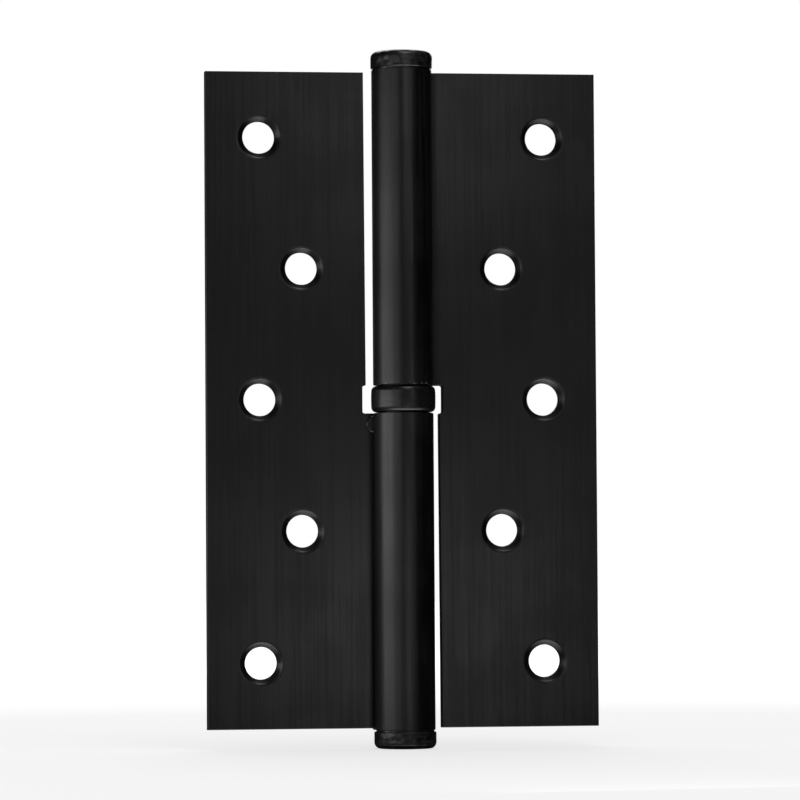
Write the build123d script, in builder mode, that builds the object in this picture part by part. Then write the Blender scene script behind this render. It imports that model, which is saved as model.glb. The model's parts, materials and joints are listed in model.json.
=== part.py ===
from build123d import *
import os
from math import asin, atan2, degrees, sqrt

# Lift-off door hinge, laid open flat. Millimetres.
# The origin is on the pin's axis, halfway up. +Z runs up the pin, +X towards the door leaf,
# and the countersunk faces of both leaves look towards -Y.

# Leaves: one punched blank, used twice
leaf_length = 125.0
leaf_reach = 37.5  # pin axis to the outer edge
sheet = 2.5
leaf_set_back = 1.0  # pin axis to the countersunk face, half the gap when shut
free_edge = 7.25  # pin axis to the free inner edge, at the leaf's end
free_edge_lean = 0.2  # the free edge comes this much nearer the pin at mid height
notch_depth = 0.65  # relief beside the bearing, measured from the free edge
notch_corner_r = 0.4
notch_step_r = 0.2
sheared_edge = 0.1  # sheared edges, broken by tumbling

# Knuckles, rolled from the leaf
knuckle_bore_r = 3.25
reverse_bend_r = 10.0  # centre line of the bend that leads the sheet behind the pin
knuckle_proud = 0.3  # knuckle end past the leaf's end
seam_gap = 0.05  # tip of the roll to the plane of the countersunk face

# Screw holes, in two staggered rows
hole_r = 3.1
countersink_r = 4.0
countersink_angle = 90.0
countersink_lip_r = 0.9  # soft rim pressed round each hole
outer_row_x = 27.25
outer_row_pitch = 50.0
inner_row_x = 19.2
inner_row_pitch = 50.0

# Pin
pin_clearance = 0.05  # radial, where the door knuckle turns on it
pin_head_gap = 5.15  # to the plug above, room for grease
pin_foot_gap = 0.5  # to the plug below
pin_lead_in = 1.2

# End caps
cap_r = 5.9
cap_height = 3.5
cap_edge_r = 1.2
cap_rim_chamfer = 0.15
seat_r = 5.5  # shoulder that beds on the knuckle's end
seat_height = 0.3  # and leaves a groove under the head
plug_length = 6.0
plug_chamfer = 0.6

# Thrust bearing between the knuckles
bearing_height = 5.3
shell_r = 6.05
shell_crown = 0.1  # swell of the side at mid height
shell_wall = 0.6
shell_shoulder_r = 1.0
shell_lip = 1.2  # width of each rolled-in lip, from the outside
shell_inset = 0.15  # lip below the race's bearing face
race_clearance = 0.08  # radial, round the pin and inside the shell
race_play = 0.1  # turning race under its lip
ball_r = 0.9
ball_count = 12
ball_clearance = 0.06
race_gap = 0.9  # between the two races

# Weld spot that closes the frame leaf's roll on the pin, dressed nearly flat
weld_r = 1.65
weld_rise = 0.4  # out of the leaf's face
weld_root = 0.8  # into the sheet
weld_edge_r = 0.3
weld_reach = 1.3  # out from the roll, over the leaf
weld_drop = 0.4  # below the knuckle's upper end

# Worked-out sizes
tiny = 0.001  # for telling edges apart
knuckle_r = knuckle_bore_r + sheet
leaf_end = leaf_length / 2
knuckle_end = leaf_end + knuckle_proud
bearing_end = bearing_height / 2
leaf_back = leaf_set_back + sheet
bend_y = leaf_set_back + sheet / 2 + reverse_bend_r
bend_x = sqrt((reverse_bend_r + knuckle_bore_r + sheet / 2) ** 2 - bend_y**2)
bend_angle = degrees(atan2(bend_y, bend_x))
tip_angle = degrees(asin((leaf_set_back - seam_gap) / knuckle_r))
roll_sweep = 360 + tip_angle - bend_angle
free_edge_middle = free_edge - free_edge_lean
notch_x = free_edge_middle + notch_depth
pin_r = knuckle_bore_r - pin_clearance
race_bore_r = pin_r + race_clearance
shell_inner_r = shell_r - shell_wall
lip_r = shell_r - shell_lip
race_r = shell_inner_r - race_clearance
hub_r = lip_r - race_clearance
ball_path_r = (race_bore_r + race_r) / 2
track_depth = (ball_r + ball_clearance) * sqrt(2)  # bottom of the square V track, from the balls' middle
lip_outer_z = bearing_end - shell_inset
lip_inner_z = lip_outer_z - shell_wall
pin_foot = plug_length - knuckle_end + pin_foot_gap
pin_head = knuckle_end - plug_length - pin_head_gap


def is_sheared(edge):
    """True on the outline edges of the leaf's two faces and on the roll's two outer end edges."""
    first, last = edge @ 0, edge @ 1
    level = abs(first.Z - last.Z) < tiny
    upright = abs(first.Z - last.Z) > notch_depth
    along_face = abs(first.Y - last.Y) < sheet / 2
    on_outer_edge = upright and min(first.X, last.X) > leaf_reach - tiny
    on_leaf_end = level and along_face and abs(abs(first.Z) - leaf_end) < tiny
    beside_knuckle = free_edge_middle - tiny < first.X < notch_x + tiny
    on_inner_edge = upright and beside_knuckle and abs(first.X - bend_x) > tiny
    on_roll_end = edge.geom_type == GeomType.CIRCLE and level and abs(edge.radius - knuckle_r) < tiny
    return on_outer_edge or on_leaf_end or on_inner_edge or on_roll_end


# Leaf blank, as the door leaf: rolled above, with a plain free edge below
with BuildPart() as blank:
    with BuildSketch(Plane.XY.offset(-leaf_end)):
        with BuildLine():
            Line((leaf_reach, leaf_set_back), (bend_x, leaf_set_back))
            CenterArc((bend_x, bend_y), reverse_bend_r + sheet / 2, 270, bend_angle - 90)
            bore = CenterArc((0, 0), knuckle_bore_r, bend_angle, roll_sweep)
            outside = CenterArc((0, 0), knuckle_r, bend_angle, roll_sweep)
            Line(bore @ 1, outside @ 1)
            CenterArc((bend_x, bend_y), reverse_bend_r - sheet / 2, 270, bend_angle - 90)
            Line((bend_x, leaf_back), (leaf_reach, leaf_back))
            Line((leaf_reach, leaf_back), (leaf_reach, leaf_set_back))
        make_face()
    extrude(amount=leaf_end + knuckle_end)
    # The flat of the leaf ends a little short of the knuckle's end
    with BuildSketch(Plane.XY.offset(leaf_end)):
        with Locations(((knuckle_r + leaf_reach) / 2, leaf_back)):
            Rectangle(leaf_reach - knuckle_r, 2 * sheet)
    extrude(amount=knuckle_proud, mode=Mode.SUBTRACT)
    # Room for the bearing and for the other leaf's knuckle
    with BuildSketch(Plane.XZ):
        with BuildLine():
            Polyline(
                (-knuckle_r, bearing_end),
                (notch_x, bearing_end),
                (notch_x, -bearing_end),
                (free_edge_middle, -bearing_end),
                (free_edge, -leaf_end),
                (-knuckle_r, -leaf_end),
                close=True,
            )
        make_face()
        fillet(vertices().group_by(Axis.X)[-1], notch_corner_r)
        fillet(vertices().sort_by_distance((free_edge_middle, -bearing_end))[0], notch_step_r)
    extrude(amount=leaf_reach, both=True, mode=Mode.SUBTRACT)
    chamfer(blank.edges().filter_by(is_sheared), sheared_edge)
    with Locations(Plane.XZ.offset(-leaf_set_back)):
        with Locations((outer_row_x, 0)):
            with GridLocations(0, outer_row_pitch, 1, 3):
                CounterSinkHole(hole_r, countersink_r, 2 * sheet, countersink_angle)
        with Locations((inner_row_x, 0)):
            with GridLocations(0, inner_row_pitch, 1, 2):
                CounterSinkHole(hole_r, countersink_r, 2 * sheet, countersink_angle)
    circles = blank.edges().filter_by(GeomType.CIRCLE)
    fillet(circles.filter_by(lambda circle: abs(circle.radius - countersink_r) < tiny), countersink_lip_r)
os.makedirs("parts", exist_ok=True)

# Door leaf: its knuckle is the upper one, and lifts off the pin
with BuildPart() as door_leaf:
    add(blank.part)
door_leaf.part.label = "door_leaf"
export_step(door_leaf.part, "parts/door_leaf.step")

# Frame leaf: the same blank turned upside down, its roll tacked shut on the pin
with BuildPart() as frame_leaf:
    add(blank.part.rotate(Axis.Y, 180))
    with BuildSketch(Plane.XZ.offset(weld_rise - leaf_set_back)):
        with Locations((weld_r - knuckle_r - weld_reach, -bearing_end - weld_drop - weld_r)):
            Circle(weld_r)
    extrude(amount=-weld_rise - weld_root)
    weld_edges = frame_leaf.edges(Select.LAST).filter_by(GeomType.CIRCLE).group_by(Axis.Y)[0]
    fillet(weld_edges, weld_edge_r)
frame_leaf.part.label = "frame_leaf"
export_step(frame_leaf.part, "parts/frame_leaf.step")

# Pin: pressed into the frame leaf's knuckle, free in the door leaf's
with BuildPart() as pin:
    with BuildSketch(Plane.XY.offset(pin_foot)):
        Circle(knuckle_bore_r)
    extrude(amount=-bearing_end - pin_foot)
    with BuildSketch(Plane.XY.offset(-bearing_end)):
        Circle(pin_r)
    extrude(amount=bearing_end + pin_head)
    chamfer(pin.edges().sort_by(Axis.Z)[-1], pin_lead_in, pin_lead_in / 2)
    chamfer(pin.edges().sort_by(Axis.Z)[0], plug_chamfer)
pin.part.label = "pin"
export_step(pin.part, "parts/pin.step")

# End cap: a turned head with a plug that is driven into the knuckle's bore
with BuildPart() as top_cap:
    with BuildSketch(Plane.XY.offset(knuckle_end + cap_height)):
        Circle(cap_r)
    extrude(amount=seat_height - cap_height)
    with BuildSketch(Plane.XY.offset(knuckle_end)):
        Circle(seat_r)
    extrude(amount=seat_height)
    with BuildSketch(Plane.XY.offset(knuckle_end - plug_length)):
        Circle(knuckle_bore_r)
    extrude(amount=plug_length)
    fillet(top_cap.edges().group_by(Axis.Z)[-1], cap_edge_r)
    underside = top_cap.faces().filter_by(Plane.XY).sort_by(Axis.Z)[-2]
    chamfer(underside.edges().sort_by(SortBy.RADIUS)[-1], cap_rim_chamfer)
    chamfer(top_cap.edges().group_by(Axis.Z)[0], plug_chamfer)
top_cap.part.label = "top_cap"
export_step(top_cap.part, "parts/top_cap.step")

with BuildPart() as bottom_cap:
    add(top_cap.part.rotate(Axis.Y, 180))
bottom_cap.part.label = "bottom_cap"
export_step(bottom_cap.part, "parts/bottom_cap.step")

# Bearing shell: a pressed cup whose two lips are rolled in over the races
with BuildPart() as bearing_shell:
    with BuildSketch(Plane.XZ):
        with BuildLine():
            Line((lip_r, -lip_outer_z), (shell_r, -lip_outer_z))
            SagittaArc((shell_r, -lip_outer_z), (shell_r, lip_outer_z), -shell_crown)
            Polyline(
                (shell_r, lip_outer_z),
                (lip_r, lip_outer_z),
                (lip_r, lip_inner_z),
                (shell_inner_r, lip_inner_z),
                (shell_inner_r, -lip_inner_z),
                (lip_r, -lip_inner_z),
                (lip_r, -lip_outer_z),
            )
        make_face()
        fillet(vertices().group_by(Axis.X)[-1], shell_shoulder_r)
    revolve(axis=Axis.Z)
bearing_shell.part.label = "bearing_shell"
export_step(bearing_shell.part, "parts/bearing_shell.step")


def race_section(flange_z):
    """Half section of a race lying above the balls, from its track up to its bearing face."""
    with BuildSketch(Plane.XZ) as section:
        with BuildLine():
            Polyline(
                (race_bore_r, race_gap / 2),
                (race_r, race_gap / 2),
                (race_r, flange_z),
                (hub_r, flange_z),
                (hub_r, bearing_end),
                (race_bore_r, bearing_end),
                close=True,
            )
        make_face()
        with Locations((ball_path_r, 0)):
            RegularPolygon(track_depth, 4, rotation=0, mode=Mode.SUBTRACT)
    return section.sketch


# Upper race: turns with the door leaf, with play under the shell's lip
with BuildPart() as upper_race:
    revolve(race_section(lip_inner_z - race_play), axis=Axis.Z)
upper_race.part.label = "upper_race"
export_step(upper_race.part, "parts/upper_race.step")

# Lower race: held in the shell and standing on the frame leaf's knuckle
with BuildPart() as lower_race:
    revolve(race_section(lip_inner_z).rotate(Axis.Y, 180), axis=Axis.Z)
lower_race.part.label = "lower_race"
export_step(lower_race.part, "parts/lower_race.step")

# Balls, a full ring of them between the races
with BuildSketch():
    ball_places = PolarLocations(ball_path_r, ball_count).locations
for number, place in enumerate(ball_places, start=1):
    with BuildPart() as ball:
        with Locations(place):
            Sphere(ball_r)
    ball.part.label = f"ball_{number:02d}"
    export_step(ball.part, f"parts/ball_{number:02d}.step")
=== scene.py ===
import json
from math import cos, pi, radians, sin

import bmesh
import bpy
from mathutils import Matrix, Vector


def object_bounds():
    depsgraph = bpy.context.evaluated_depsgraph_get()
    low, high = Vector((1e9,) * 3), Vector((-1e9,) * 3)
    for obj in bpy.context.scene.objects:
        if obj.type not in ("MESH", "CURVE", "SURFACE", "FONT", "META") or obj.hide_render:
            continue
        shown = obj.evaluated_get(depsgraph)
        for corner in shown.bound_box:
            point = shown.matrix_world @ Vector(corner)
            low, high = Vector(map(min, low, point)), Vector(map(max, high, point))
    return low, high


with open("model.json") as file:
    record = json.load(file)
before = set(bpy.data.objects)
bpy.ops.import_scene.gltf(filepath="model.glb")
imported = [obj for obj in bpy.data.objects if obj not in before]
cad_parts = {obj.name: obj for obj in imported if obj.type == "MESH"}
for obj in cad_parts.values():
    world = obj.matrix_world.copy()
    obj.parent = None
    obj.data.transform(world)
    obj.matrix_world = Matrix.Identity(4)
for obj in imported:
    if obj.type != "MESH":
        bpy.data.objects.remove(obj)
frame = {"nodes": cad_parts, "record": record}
cad_low, cad_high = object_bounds()
nodes = frame["nodes"]

# Leaves, and the knuckles rolled from them: cold-rolled steel sheet, belt-brushed lengthwise, punched,
# rolled round the pin through a reverse bend, and sprayed satin black. The coating is so thin that the
# brushing comes through as fine upright lines, and the roll, burnished by its die, is a little glossier.
MM = 0.001
line_noise = {"Detail": 4, "Roughness": 0.65}


def linear(code):
    """Linear colour from an sRGB hex value."""
    shares = [int(code[place : place + 2], 16) / 255 for place in (1, 3, 5)]
    return [s / 12.92 if s <= 0.04045 else ((s + 0.055) / 1.055) ** 2.4 for s in shares] + [1.0]


def add_node(tree, kind, settings, inputs):
    """Adds a node. Each input is a plain value, or the output socket that feeds it."""
    node = tree.nodes.new(kind)
    for name, value in settings.items():
        setattr(node, name, value)
    for key, value in inputs.items():
        if isinstance(value, bpy.types.NodeSocket):
            tree.links.new(value, node.inputs[key])
        else:
            node.inputs[key].default_value = value
    return node.outputs


def lay_grain(tree, grain, stretch, around):
    """Object coordinates, the distance from the pin's axis, and a noise of lines left by working.

    The lines are grain millimetres wide and stretch times as long. They run along Z, or on turned
    work around it, where around is the piece's radius in millimetres."""
    place = add_node(tree, "ShaderNodeTexCoord", {}, {})["Object"]
    axes = add_node(tree, "ShaderNodeSeparateXYZ", {}, {"Vector": place})
    across = add_node(tree, "ShaderNodeCombineXYZ", {}, {"X": axes["X"], "Y": axes["Y"]})["Vector"]
    radius = add_node(tree, "ShaderNodeVectorMath", {"operation": "LENGTH"}, {0: across})["Value"]
    worked = place
    if around:
        turn = add_node(
            tree, "ShaderNodeMath", {"operation": "ARCTAN2"}, {0: axes["Y"], 1: axes["X"]}
        )["Value"]
        arc = add_node(
            tree, "ShaderNodeMath", {"operation": "MULTIPLY"}, {0: turn, 1: around * MM}
        )["Value"]
        worked = add_node(
            tree, "ShaderNodeCombineXYZ", {}, {"X": radius, "Y": axes["Z"], "Z": arc}
        )["Vector"]
    fine = 1 / (grain * MM)
    drawn = add_node(
        tree, "ShaderNodeMapping", {}, {"Vector": worked, "Scale": [fine, fine, fine / stretch]}
    )
    lines = add_node(
        tree, "ShaderNodeTexNoise", {}, {"Vector": drawn["Vector"], "Scale": 1, **line_noise}
    )["Fac"]
    return place, radius, lines


coat_dark = "#010101"
coat_light = "#0e0e0f"
coat_ior = 1.5  # baked enamel
sprayed = 16.0  # width of the light and dark patches left by the spray, mm
cloud_noise = {"Detail": 3, "Roughness": 0.55}
tone_low, tone_high = 0.2, 0.3  # noise at which the coating is darkest and lightest
matt_low, matt_high = 0.15, 0.35  # noise at which it is mattest and glossiest
matting = 0.07
rolled_sheen = 0.27  # roughness of the burnished roll
roll_r, leaf_from = 6, 8  # where the roll ends and the leaf begins, mm from the axis
orange_peel = 0.6  # width of the coating's ripples, mm
peel_depth = 0.0012
peel_noise = {"Detail": 2, "Roughness": 0.5}
dent = 1.4  # width of one knock, mm
dent_softness = 0.6
speck_grey = "#6a6966"  # light grey of the specks
speck = 0.5  # width of one speck, mm
speck_depth = 0.03
speck_noise = {"Detail": 1, "Roughness": 0.5}
speck_low, speck_high = 0.58, 0.66  # noise at which a speck begins, and is fully light grey
speck_full, speck_last = 0.05, 0.45  # how far from the edge specks are many, and end, mm
edge_on = 0.5  # a face that looks less than this to front or back was sheared by the punch
sheared_sheen = 0.5
torn = 0.3  # width of the tears left by the punch, mm
torn_stretch = 6  # how much longer they are through the sheet
torn_depth = 0.02
torn_noise = {"Detail": 3, "Roughness": 0.6}


def black_coating(
    name, grain, stretch, depth, sheen, dent_depth, specked_at, around=0, cloud=sprayed, light=coat_light
):
    """Satin black enamel, a few hundredths of a millimetre thick, over worked steel.

    To the eye it is near black with a soft, broad gloss, broken by the lines of the steel below.
    Sheen is its roughness where it is glossiest. Dents are the shallow knocks of a hammer or a die.
    The argument specked_at is the height on round work of an edge with light grey specks, in millimetres,
    and cloud the width of the patches that are as light as the colour light. Sheared edges are matt and
    torn."""
    material = bpy.data.materials.new(name)
    material.use_nodes = True
    tree = material.node_tree
    tree.nodes.clear()
    place, radius, lines = lay_grain(tree, grain, stretch, around)

    # Tone and gloss change together, in clouds streaked by the lines
    clouds = add_node(
        tree, "ShaderNodeTexNoise", {}, {"Vector": place, "Scale": 1 / (cloud * MM), **cloud_noise}
    )["Fac"]
    blend = add_node(tree, "ShaderNodeMath", {"operation": "MULTIPLY"}, {0: lines, 1: clouds})["Value"]
    share = add_node(
        tree, "ShaderNodeMapRange", {}, {"Value": blend, "From Min": tone_low, "From Max": tone_high}
    )["Result"]
    tone = add_node(
        tree, "ShaderNodeMix", {"data_type": "RGBA"}, {0: share, 6: linear(coat_dark), 7: linear(light)}
    )[2]
    ripple = add_node(
        tree,
        "ShaderNodeMapRange",
        {},
        {"Value": blend, "From Min": matt_low, "From Max": matt_high, "To Min": matting, "To Max": 0},
    )["Result"]
    flat = add_node(
        tree,
        "ShaderNodeMapRange",
        {},
        {
            "Value": radius,
            "From Min": roll_r * MM,
            "From Max": leaf_from * MM,
            "To Min": rolled_sheen,
            "To Max": sheen,
        },
    )["Result"]
    satin = add_node(tree, "ShaderNodeMath", {"operation": "ADD"}, {0: flat, 1: ripple})["Value"]

    # Sheared edges of the sheet, streaked through its thickness
    facing = add_node(tree, "ShaderNodeTexCoord", {}, {})["Normal"]
    through = add_node(tree, "ShaderNodeSeparateXYZ", {}, {"Vector": facing})["Y"]
    square = add_node(tree, "ShaderNodeMath", {"operation": "ABSOLUTE"}, {0: through})["Value"]
    edge = add_node(tree, "ShaderNodeMath", {"operation": "LESS_THAN"}, {0: square, 1: edge_on})["Value"]
    on_leaf = add_node(
        tree, "ShaderNodeMath", {"operation": "GREATER_THAN"}, {0: radius, 1: leaf_from * MM}
    )["Value"]
    sheared = add_node(tree, "ShaderNodeMath", {"operation": "MULTIPLY"}, {0: edge, 1: on_leaf})["Value"]
    satin = add_node(
        tree, "ShaderNodeMapRange", {}, {"Value": sheared, "To Min": satin, "To Max": sheared_sheen}
    )["Result"]
    wide = 1 / (torn * MM)
    streaked = add_node(
        tree, "ShaderNodeMapping", {}, {"Vector": place, "Scale": [wide, wide / torn_stretch, wide]}
    )
    tears = add_node(
        tree, "ShaderNodeTexNoise", {}, {"Vector": streaked["Vector"], "Scale": 1, **torn_noise}
    )["Fac"]
    torn_edge = add_node(
        tree, "ShaderNodeMath", {"operation": "MULTIPLY"}, {0: tears, 1: sheared}
    )["Value"]

    # Light grey specks, sunk a little, along an edge of round work
    up = add_node(tree, "ShaderNodeSeparateXYZ", {}, {"Vector": place})["Z"]
    above = add_node(
        tree, "ShaderNodeMath", {"operation": "SUBTRACT"}, {0: up, 1: specked_at * MM}
    )["Value"]
    away = add_node(tree, "ShaderNodeMath", {"operation": "ABSOLUTE"}, {0: above})["Value"]
    on_roll = add_node(
        tree, "ShaderNodeMath", {"operation": "LESS_THAN"}, {0: radius, 1: roll_r * MM}
    )["Value"]
    at_edge = add_node(
        tree,
        "ShaderNodeMapRange",
        {},
        {
            "Value": away,
            "From Min": speck_full * MM,
            "From Max": speck_last * MM,
            "To Min": on_roll,
            "To Max": 0,
        },
    )["Result"]
    ragged = add_node(
        tree, "ShaderNodeTexNoise", {}, {"Vector": place, "Scale": 1 / (speck * MM), **speck_noise}
    )["Fac"]
    spots = add_node(
        tree, "ShaderNodeMapRange", {}, {"Value": ragged, "From Min": speck_low, "From Max": speck_high}
    )["Result"]
    specks = add_node(tree, "ShaderNodeMath", {"operation": "MULTIPLY"}, {0: spots, 1: at_edge})["Value"]
    specked = add_node(tree, "ShaderNodeMix", {"data_type": "RGBA"}, {0: specks, 6: tone, 7: linear(speck_grey)})[2]

    # Relief: the lines of the steel, the coating's orange peel, dents and specks
    peel = add_node(
        tree, "ShaderNodeTexNoise", {}, {"Vector": place, "Scale": 1 / (orange_peel * MM), **peel_noise}
    )["Fac"]
    dents = add_node(
        tree,
        "ShaderNodeTexVoronoi",
        {"feature": "SMOOTH_F1"},
        {"Vector": place, "Scale": 1 / (dent * MM), "Smoothness": dent_softness},
    )["Distance"]
    normal = add_node(
        tree, "ShaderNodeBump", {}, {"Height": lines, "Strength": 1, "Distance": depth * MM}
    )["Normal"]
    for relief, deep in (
        (torn_edge, torn_depth), (peel, peel_depth), (dents, dent_depth), (specks, -speck_depth)
    ):
        normal = add_node(
            tree,
            "ShaderNodeBump",
            {},
            {"Height": relief, "Strength": 1, "Distance": deep * MM, "Normal": normal},
        )["Normal"]

    surface = add_node(
        tree,
        "ShaderNodeBsdfPrincipled",
        {},
        {"Base Color": specked, "Roughness": satin, "IOR": coat_ior, "Normal": normal},
    )["BSDF"]
    add_node(tree, "ShaderNodeOutputMaterial", {}, {"Surface": surface})
    return material


# Belt lines are 0.05 to 0.1 mm apart and a few thousandths deep. They are drawn at 0.6 mm, and
# deeper to match, so that they show.
brushed_sheet = black_coating(
    "satin_black_coating_on_brushed_sheet",
    grain=0.6,
    stretch=60,
    depth=0.018,
    sheen=0.29,
    dent_depth=0,
    specked_at=2.7,
)
for name in ("frame_leaf", "door_leaf"):
    nodes[name].material_slots[0].material = brushed_sheet

# End caps: turned from steel bar, coated like the leaves, and driven into the knuckles with a hammer.
# The blows leave the head and its side uneven, so that its gloss breaks up into patches.
turned_cap = black_coating(
    "satin_black_coating_on_turned_bar",
    grain=0.3,
    stretch=30,
    depth=0.004,
    sheen=0.33,
    dent_depth=0.13,
    specked_at=0,
    around=6,
    cloud=1.2,
    light="#19191a",
)
for name in ("top_cap", "bottom_cap"):
    nodes[name].material_slots[0].material = turned_cap

# Bearing shell: drawn from thin steel strip, rolled shut over the two races, and coated like the
# leaves. Drawing leaves it smooth, with faint waves around its side.
pressed_shell = black_coating(
    "satin_black_coating_on_drawn_strip",
    grain=0.5,
    stretch=6,
    depth=0.002,
    sheen=0.27,
    dent_depth=0.02,
    specked_at=0,
    around=6,
)
nodes["bearing_shell"].material_slots[0].material = pressed_shell

# Pin: bright drawn steel, centreless ground and pressed into the frame leaf's knuckle. The stretch
# that turns in the door leaf shows once that leaf is lifted off, under patches of grease.
grease = 3.0  # width of the patches, mm
grease_noise = {"Detail": 3, "Roughness": 0.6}
clean_up_to, thick_from = 0.4, 0.65  # noise at which the film begins, and is thickest
film_matting = 0.18


def bare_steel(name, grain, stretch, depth, sheen, around, bright, dull):
    """Uncoated steel under a thin film of grease, which dulls it in patches.

    To the eye it is a mirror drawn out by the lines of grinding or turning. Bright is its colour
    where it is clean, and dull where the film is thickest."""
    material = bpy.data.materials.new(name)
    material.use_nodes = True
    tree = material.node_tree
    tree.nodes.clear()
    place, radius, lines = lay_grain(tree, grain, stretch, around)
    film = add_node(
        tree, "ShaderNodeTexNoise", {}, {"Vector": place, "Scale": 1 / (grease * MM), **grease_noise}
    )["Fac"]
    share = add_node(
        tree, "ShaderNodeMapRange", {}, {"Value": film, "From Min": clean_up_to, "From Max": thick_from}
    )["Result"]
    tone = add_node(
        tree, "ShaderNodeMix", {"data_type": "RGBA"}, {0: share, 6: linear(bright), 7: linear(dull)}
    )[2]
    rough = add_node(
        tree, "ShaderNodeMapRange", {}, {"Value": share, "To Min": sheen, "To Max": sheen + film_matting}
    )["Result"]
    normal = add_node(
        tree, "ShaderNodeBump", {}, {"Height": lines, "Strength": 1, "Distance": depth * MM}
    )["Normal"]
    surface = add_node(
        tree,
        "ShaderNodeBsdfPrincipled",
        {},
        {"Base Color": tone, "Metallic": 1.0, "Roughness": rough, "Normal": normal},
    )["BSDF"]
    add_node(tree, "ShaderNodeOutputMaterial", {}, {"Surface": surface})
    return material


ground_pin = bare_steel(
    "ground_bright_steel",
    grain=0.12,
    stretch=25,
    depth=0.0006,
    sheen=0.2,
    around=3.2,
    bright="#b4b2ad",
    dull="#8d8980",
)
nodes["pin"].material_slots[0].material = ground_pin

# Races: two grooved washers of bearing steel, turned, hardened and left dark from the oil quench.
# The lower one lies in the shell, and the upper one turns under the shell's lip with the door leaf.
turned_race = bare_steel(
    "oil_quenched_race_steel",
    grain=0.1,
    stretch=40,
    depth=0.0008,
    sheen=0.28,
    around=4.3,
    bright="#35322e",
    dull="#211f1c",
)
for name in ("lower_race", "upper_race"):
    nodes[name].material_slots[0].material = turned_race

# Balls: chromium steel, forged, ground and lapped to a mirror. Twelve of them make a full ring
# between the races, packed with grease.
lapped_ball = bare_steel(
    "lapped_ball_steel",
    grain=0.4,
    stretch=1,
    depth=0.0001,
    sheen=0.08,
    around=0,
    bright="#c9c8c6",
    dull="#a5a19a",
)
for name in frame["record"]["behaviour"]["bodies"]["ball_ring"]:
    nodes[name].material_slots[0].material = lapped_ball

# Floor: a sheet of white board, on which the hinge stands on its lower cap. To the eye it turns from
# a pale grey that keeps the shadow to pure white further off. In reflections it is painted: a painted
# dark reflection all round, with a painted pale pool ahead and to the left, so the black has dark rims.
floor_size = 6.0
board_tone = "#818181"
# Painted reflection: the board's colour as the coating's gloss sees it, painted dark all round and
# painted pale in a pool ahead and to the left
painted_dark_reflection = "#161616"
painted_pale_reflection = "#818181"
painted_pool_side = radians(45)  # from straight ahead towards the left
painted_pool_from, painted_pool_to = -0.01, 0.1  # metres that way from the pin
glow_near, glow_far = 0.62, 1.0
near, far = 0.2, 0.6  # metres from the pin
floor_mesh = bpy.data.meshes.new("floor")
sheet = bmesh.new()
bmesh.ops.create_grid(sheet, x_segments=1, y_segments=1, size=floor_size / 2)
bmesh.ops.translate(sheet, verts=sheet.verts, vec=(0, 0, cad_low.z))
sheet.to_mesh(floor_mesh)
sheet.free()
floor = bpy.data.objects.new("floor", floor_mesh)
bpy.context.scene.collection.objects.link(floor)
board = bpy.data.materials.new("white_board")
board.use_nodes = True
tree = board.node_tree
tree.nodes.clear()
path = add_node(tree, "ShaderNodeLightPath", {}, {})
place = add_node(tree, "ShaderNodeTexCoord", {}, {})["Object"]
painted_pool_way = (-sin(painted_pool_side), -cos(painted_pool_side), 0)
ahead = add_node(
    tree, "ShaderNodeVectorMath", {"operation": "DOT_PRODUCT"}, {0: place, 1: painted_pool_way}
)["Value"]
# Painted pool of light on the board, seen only in reflections
painted_pool = add_node(
    tree, "ShaderNodeMapRange", {}, {"Value": ahead, "From Min": painted_pool_from, "From Max": painted_pool_to}
)["Result"]
painted_reflection = add_node(
    tree,
    "ShaderNodeMix",
    {"data_type": "RGBA"},
    {0: painted_pool, 6: linear(painted_dark_reflection), 7: linear(painted_pale_reflection)},
)[2]
tone = add_node(
    tree,
    "ShaderNodeMix",
    {"data_type": "RGBA"},
    {0: path["Is Glossy Ray"], 6: linear(board_tone), 7: painted_reflection},
)[2]
card = add_node(tree, "ShaderNodeBsdfDiffuse", {}, {"Color": tone})["BSDF"]
away = add_node(tree, "ShaderNodeVectorMath", {"operation": "LENGTH"}, {0: place})["Value"]
pale = add_node(
    tree,
    "ShaderNodeMapRange",
    {},
    {"Value": away, "From Min": near, "From Max": far, "To Min": glow_near, "To Max": glow_far},
)["Result"]
level = add_node(
    tree, "ShaderNodeMath", {"operation": "MULTIPLY"}, {0: path["Is Camera Ray"], 1: pale}
)["Value"]
glow = add_node(
    tree, "ShaderNodeEmission", {}, {"Color": linear("#ffffff"), "Strength": level}
)["Emission"]
shown = add_node(tree, "ShaderNodeAddShader", {}, {0: card, 1: glow})["Shader"]
add_node(tree, "ShaderNodeOutputMaterial", {}, {"Surface": shown})
floor_mesh.materials.append(board)

# Backdrop: pure white to the eye, and an even light on every surface, at which a colour renders about
# as it is written. The gloss sees a dim studio instead, a little lighter on the left and overhead,
# for the sake of the same dark rims.
dim_left, dim_right, overhead = 0.02, 0.005, 0.05
side_reach = 0.8
overhead_from, overhead_full = 0.4, 0.8
even_light = 1.0
white = 1.0
world = bpy.data.worlds.new("studio")
bpy.context.scene.world = world
world.use_nodes = True
tree = world.node_tree
tree.nodes.clear()
direction = add_node(tree, "ShaderNodeTexCoord", {}, {})["Generated"]
axes = add_node(tree, "ShaderNodeSeparateXYZ", {}, {"Vector": direction})
side = add_node(
    tree,
    "ShaderNodeMapRange",
    {},
    {
        "Value": axes["X"],
        "From Min": -side_reach,
        "From Max": side_reach,
        "To Min": dim_left,
        "To Max": dim_right,
    },
)["Result"]
room = add_node(
    tree,
    "ShaderNodeMapRange",
    {},
    {
        "Value": axes["Z"],
        "From Min": overhead_from,
        "From Max": overhead_full,
        "To Min": side,
        "To Max": overhead,
    },
)["Result"]
path = add_node(tree, "ShaderNodeLightPath", {}, {})
given = add_node(
    tree, "ShaderNodeMix", {"data_type": "FLOAT"}, {0: path["Is Diffuse Ray"], 2: room, 3: even_light}
)[0]
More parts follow.
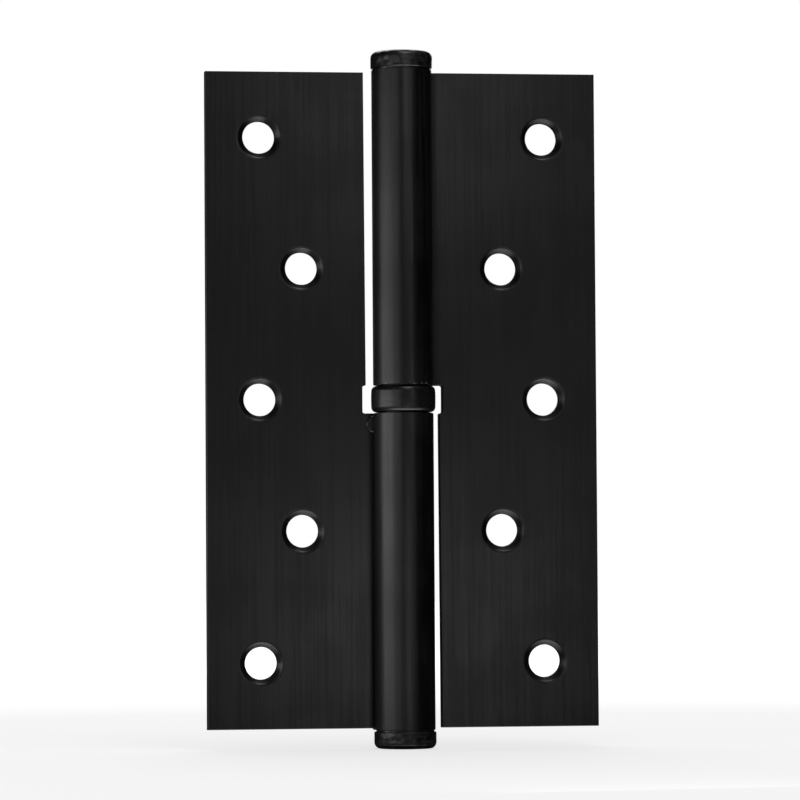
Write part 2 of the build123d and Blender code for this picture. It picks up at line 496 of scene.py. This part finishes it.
level = add_node(
    tree, "ShaderNodeMix", {"data_type": "FLOAT"}, {0: path["Is Camera Ray"], 2: given, 3: white}
)[0]
back = add_node(
    tree, "ShaderNodeBackground", {}, {"Color": linear("#ffffff"), "Strength": level}
)["Background"]
add_node(tree, "ShaderNodeOutputWorld", {}, {"Surface": back})


# Lamps: soft boxes round the hinge, each of which shows in the coating as one of its pale areas.
# The light from all of them is plain and even, and the sizes are in metres.
def soft_box(name, azimuth, elevation, distance, width, height, radiance, spread=180):
    """A soft box aimed at the hinge. Azimuth turns from the front (-Y) towards the right (+X)."""
    lamp = bpy.data.lights.new(name, "AREA")
    lamp.shape = "RECTANGLE"
    lamp.size = width
    lamp.size_y = height
    lamp.spread = radians(spread)
    lamp.energy = radiance * width * height * pi
    box = bpy.data.objects.new(name, lamp)
    a, e = radians(azimuth), radians(elevation)
    towards = Vector((sin(a) * cos(e), -cos(a) * cos(e), sin(e)))
    turned = towards.to_track_quat("Z", "Y").to_matrix().to_4x4()
    box.matrix_world = Matrix.Translation(towards * distance) @ turned
    box.visible_camera = False
    bpy.context.scene.collection.objects.link(box)
    return box


# The broad band on the left of the knuckles, and the dimmer one beside it
soft_box("left_box", azimuth=-73, elevation=-7.5, distance=0.42, width=0.42, height=0.29, radiance=1.95)
soft_box("fill_box", azimuth=-32, elevation=-4, distance=0.42, width=0.2, height=0.36, radiance=0.75)
# The leaves, which darken outwards and at mid height
soft_box(
    "upper_front_box",
    azimuth=7.8,
    elevation=31.8,
    distance=0.19,
    width=0.055,
    height=0.12,
    radiance=0.8,
)
soft_box(
    "lower_front_box",
    azimuth=7.8,
    elevation=-17,
    distance=0.169,
    width=0.055,
    height=0.065,
    radiance=0.92,
)
# The narrow band right of the knuckles' middle
soft_box("right_box", azimuth=26, elevation=0, distance=1.5, width=0.27, height=1.2, radiance=0.75)
# The heads, the upper edges and the top view
soft_box("top_box", azimuth=22, elevation=62, distance=0.6, width=0.25, height=0.25, radiance=3.2)
# The upper rims of the holes and the underside of the ring, from just above the floor
foot_lift = 0.0007
foot_shift = 0.08
foot_box = soft_box(
    "foot_box",
    azimuth=0,
    elevation=-90,
    distance=-cad_low.z - foot_lift,
    width=0.26,
    height=0.12,
    radiance=1.15,
    spread=110,
)
foot_box.location.x = foot_shift
# The upper edges and the back
soft_box("back_box", azimuth=180, elevation=50, distance=0.6, width=0.4, height=0.3, radiance=3.0)
soft_box("rear_box", azimuth=165, elevation=9, distance=0.8, width=0.28, height=0.24, radiance=2.4)

# Camera: where the photograph's perspective puts it, a little to the left and low, with a long lens.
# It was fitted to the leaves' corners and the holes.
camera_lens = 190.1
camera_clip = 0.01
camera_place = (-0.1083, -0.7963, -0.0313)
level_tilt = 90  # a camera looks down until it is tilted by this much
camera_turn, camera_tilt, camera_roll = -7.70, 2.22, -0.36
camera = bpy.data.objects.new("camera", bpy.data.cameras.new("camera"))
camera.data.lens = camera_lens
camera.data.clip_start = camera_clip
camera.matrix_world = (
    Matrix.Translation(camera_place)
    @ Matrix.Rotation(radians(camera_turn), 4, "Z")
    @ Matrix.Rotation(radians(level_tilt + camera_tilt), 4, "X")
    @ Matrix.Rotation(radians(camera_roll), 4, "Z")
)
bpy.context.scene.collection.objects.link(camera)
bpy.context.scene.camera = camera
bpy.context.scene.view_settings.view_transform = "Standard"
